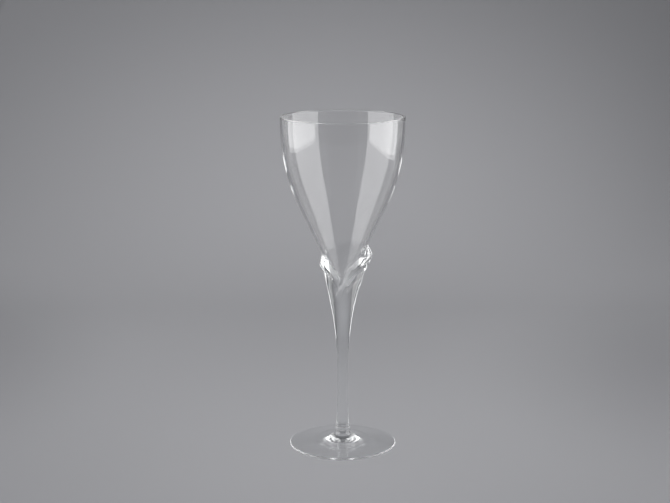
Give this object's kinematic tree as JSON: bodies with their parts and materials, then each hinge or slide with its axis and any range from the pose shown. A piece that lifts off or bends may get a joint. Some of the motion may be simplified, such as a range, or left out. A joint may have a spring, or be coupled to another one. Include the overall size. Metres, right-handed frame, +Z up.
{
  "type": "red wine glass",
  "caption": "Clear stemmed red wine glass with a tall tapering bowl held by two lapped glass leaves on a slender flared stem and a round foot.",
  "frame": {"origin": "centre of the foot, on the plane of the table it stands on", "axes": "+Z up along the glass's axis, -Y to the front where the right leaf laps over the left one, +X to the right seen from the front"},
  "size_m": [0.0826, 0.0826, 0.225],
  "materials": {
    "bowl_crystal": "clear blown crystal, polished",
    "leaf_crystal": "clear solid crystal, fire polished",
    "stem_crystal": "clear solid crystal, drawn and fire polished",
    "foot_crystal": "clear crystal, polished"
  },
  "bodies": {
    "root": {"bowl": "bowl_crystal", "right_leaf": "leaf_crystal", "left_leaf": "leaf_crystal", "stem": "stem_crystal", "merese": "stem_crystal", "foot": "foot_crystal"}
  },
  "joints": []
}
